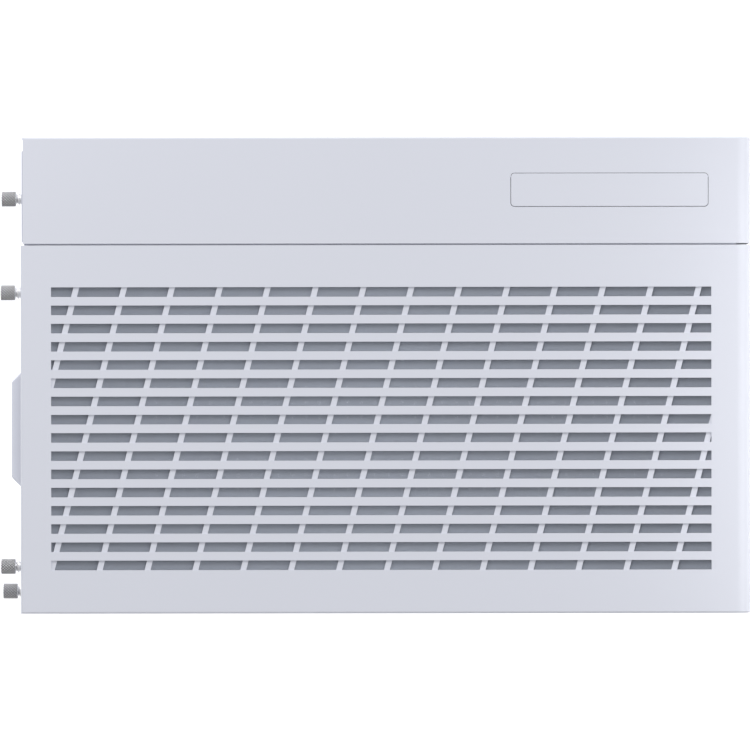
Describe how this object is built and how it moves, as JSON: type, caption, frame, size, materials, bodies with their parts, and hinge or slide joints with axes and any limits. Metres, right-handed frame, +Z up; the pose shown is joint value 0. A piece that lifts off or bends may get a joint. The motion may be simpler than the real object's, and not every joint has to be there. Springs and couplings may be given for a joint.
{
  "type": "desktop computer case",
  "caption": "White dual-chamber desktop computer case with a slotted, slant-ribbed top panel, flush port lid, glass side and front, and rear thumbscrews.",
  "frame": {"origin": "on the floor, at the middle of the bounding box's base (feet down)", "axes": "+X towards the front glass, +Y towards the drive-chamber side (right-hand side), +Z up"},
  "size_m": [0.477, 0.303, 0.476],
  "materials": {
    "white_steel": "satin powder coat",
    "white_plastic": "fine matte texture",
    "black_plastic": "matte",
    "fan_plastic": "satin",
    "grey_plastic": "matte",
    "grey_mesh": "woven",
    "grey_rubber": "matte",
    "nickel": "satin nickel plate",
    "zinc_steel": "zinc plate",
    "black_steel": "black oxide",
    "brass": "machined",
    "port_metal": "plated",
    "green_board": "solder mask",
    "light_ring": "translucent",
    "clear_glass": "tempered, clear"
  },
  "bodies": {
    "chassis": {"rear_panel": "white_steel", "clinch_nuts": "zinc_steel", "slot_covers": "white_steel", "case_screws": "nickel", "psu_bracket": "white_steel", "top_deck": "white_steel", "floor_pan": "white_steel", "motherboard_tray": "white_steel", "standoffs": "brass", "cable_grommets": "grey_rubber", "fan_frames": "black_plastic", "fan_screws": "black_steel", "side_fan_bracket": "white_steel", "side_frame": "white_steel", "stud_sockets": "black_plastic", "drive_cage": "white_steel", "ssd_brackets": "white_steel", "fan_hub": "black_plastic", "base_frame": "white_plastic", "feet": "white_plastic", "foot_pads": "grey_rubber", "io_bezel": "white_steel", "io_tub": "black_plastic", "io_board": "green_board", "usb_ports": "port_metal", "audio_jack": "black_plastic", "reset_switch": "black_plastic", "power_ring": "light_ring", "power_switch": "green_board"},
    "top_panel": {"top_vent_panel": "white_steel", "top_filter_frame": "grey_plastic", "top_filter_mesh": "grey_mesh"},
    "port_lid": {"io_lid": "white_plastic"},
    "reset_key": {"reset_button": "white_plastic"},
    "power_key": {"power_button": "white_plastic"},
    "left_window": {"left_glass": "clear_glass", "left_glass_frame": "white_steel", "left_glass_studs": "nickel"},
    "front_window": {"front_glass": "clear_glass", "front_glass_frame": "white_steel", "front_glass_studs": "nickel"},
    "right_cover": {"right_panel": "white_steel", "side_filter": "grey_mesh", "right_panel_studs": "nickel"},
    "floor_filter": {"bottom_filter_frame": "grey_plastic", "bottom_filter_mesh": "grey_mesh"},
    "drive_sled_1": {"drive_tray_1": "black_plastic"},
    "drive_sled_2": {"drive_tray_2": "black_plastic"},
    "side_rotor_1": {"side_fan_rotor_1": "fan_plastic"},
    "side_rotor_2": {"side_fan_rotor_2": "fan_plastic"},
    "side_rotor_3": {"side_fan_rotor_3": "fan_plastic"},
    "rear_rotor": {"rear_fan_rotor": "fan_plastic"},
    "ferrule_1": {"thumbscrew_ferrule_1": "nickel"},
    "screw_1": {"thumbscrew_1": "nickel"},
    "ferrule_2": {"thumbscrew_ferrule_2": "nickel"},
    "screw_2": {"thumbscrew_2": "nickel"},
    "ferrule_3": {"thumbscrew_ferrule_3": "nickel"},
    "screw_3": {"thumbscrew_3": "nickel"},
    "ferrule_4": {"thumbscrew_ferrule_4": "nickel"},
    "screw_4": {"thumbscrew_4": "nickel"}
  },
  "joints": [
    {"name": "top_panel_lift", "type": "slide", "parent": "chassis", "child": "top_panel", "axis": [0, 0, 1], "range_m": [0, 0.12]},
    {"name": "port_lid_hinge", "type": "hinge", "parent": "chassis", "child": "port_lid", "pos_m": [0.14885, 0.12605, 0.475], "axis": [-1, 0, 0], "range_deg": [0, 100]},
    {"name": "reset_press", "type": "slide", "parent": "chassis", "child": "reset_key", "axis": [0, 0, -1], "range_m": [0, 0.0008], "stiffness_N_per_m": 400},
    {"name": "power_press", "type": "slide", "parent": "chassis", "child": "power_key", "axis": [-1, 0, 0], "range_m": [0, 0.0015], "stiffness_N_per_m": 400},
    {"name": "left_glass_pull", "type": "slide", "parent": "chassis", "child": "left_window", "axis": [0, -1, 0], "range_m": [0, 0.12]},
    {"name": "front_glass_pull", "type": "slide", "parent": "chassis", "child": "front_window", "axis": [1, 0, 0], "range_m": [0, 0.12]},
    {"name": "right_panel_pull", "type": "slide", "parent": "chassis", "child": "right_cover", "axis": [0, 1, 0], "range_m": [0, 0.12]},
    {"name": "floor_filter_pull", "type": "slide", "parent": "chassis", "child": "floor_filter", "axis": [1, 0, 0], "range_m": [0, 0.38]},
    {"name": "drive_tray_1_pull", "type": "slide", "parent": "chassis", "child": "drive_sled_1", "axis": [1, 0, 0], "range_m": [0, 0.155]},
    {"name": "drive_tray_2_pull", "type": "slide", "parent": "chassis", "child": "drive_sled_2", "axis": [1, 0, 0], "range_m": [0, 0.155]},
    {"name": "side_fan_1_spin", "type": "hinge", "parent": "chassis", "child": "side_rotor_1", "pos_m": [0.15, 0.0415, 0.133], "axis": [0, -1, 0], "continuous": true},
    {"name": "side_fan_2_spin", "type": "hinge", "parent": "chassis", "child": "side_rotor_2", "pos_m": [0.15, 0.0415, 0.253], "axis": [0, -1, 0], "continuous": true},
    {"name": "side_fan_3_spin", "type": "hinge", "parent": "chassis", "child": "side_rotor_3", "pos_m": [0.15, 0.0415, 0.373], "axis": [0, -1, 0], "continuous": true},
    {"name": "rear_fan_spin", "type": "hinge", "parent": "chassis", "child": "rear_rotor", "pos_m": [-0.21005, -0.064, 0.338], "axis": [1, 0, 0], "continuous": true},
    {"name": "thumbscrew_1_turn", "type": "hinge", "parent": "ferrule_1", "child": "screw_1", "pos_m": [-0.23295, 0.1122, 0.468], "axis": [-1, 0, 0], "range_deg": [0, 2270]},
    {"name": "thumbscrew_1_travel", "type": "slide", "parent": "chassis", "child": "ferrule_1", "axis": [-1, 0, 0], "range_m": [0, 0.005]},
    {"name": "thumbscrew_2_turn", "type": "hinge", "parent": "ferrule_2", "child": "screw_2", "pos_m": [-0.23355, 0.05255, 0.468], "axis": [-1, 0, 0], "range_deg": [0, 2270]},
    {"name": "thumbscrew_2_travel", "type": "slide", "parent": "chassis", "child": "ferrule_2", "axis": [-1, 0, 0], "range_m": [0, 0.005]},
    {"name": "thumbscrew_3_turn", "type": "hinge", "parent": "ferrule_3", "child": "screw_3", "pos_m": [-0.23355, -0.12145, 0.468], "axis": [-1, 0, 0], "range_deg": [0, 2270]},
    {"name": "thumbscrew_3_travel", "type": "slide", "parent": "chassis", "child": "ferrule_3", "axis": [-1, 0, 0], "range_m": [0, 0.005]},
    {"name": "thumbscrew_4_turn", "type": "hinge", "parent": "ferrule_4", "child": "screw_4", "pos_m": [-0.23295, -0.1376, 0.44], "axis": [-1, 0, 0], "range_deg": [0, 2270]},
    {"name": "thumbscrew_4_travel", "type": "slide", "parent": "chassis", "child": "ferrule_4", "axis": [-1, 0, 0], "range_m": [0, 0.005]}
  ],
  "couplings": [
    {"joint": "thumbscrew_1_turn", "follows": "thumbscrew_1_travel", "rad_per_m": 7913.3},
    {"joint": "thumbscrew_2_turn", "follows": "thumbscrew_2_travel", "rad_per_m": 7913.3},
    {"joint": "thumbscrew_3_turn", "follows": "thumbscrew_3_travel", "rad_per_m": 7913.3},
    {"joint": "thumbscrew_4_turn", "follows": "thumbscrew_4_travel", "rad_per_m": 7913.3}
  ]
}
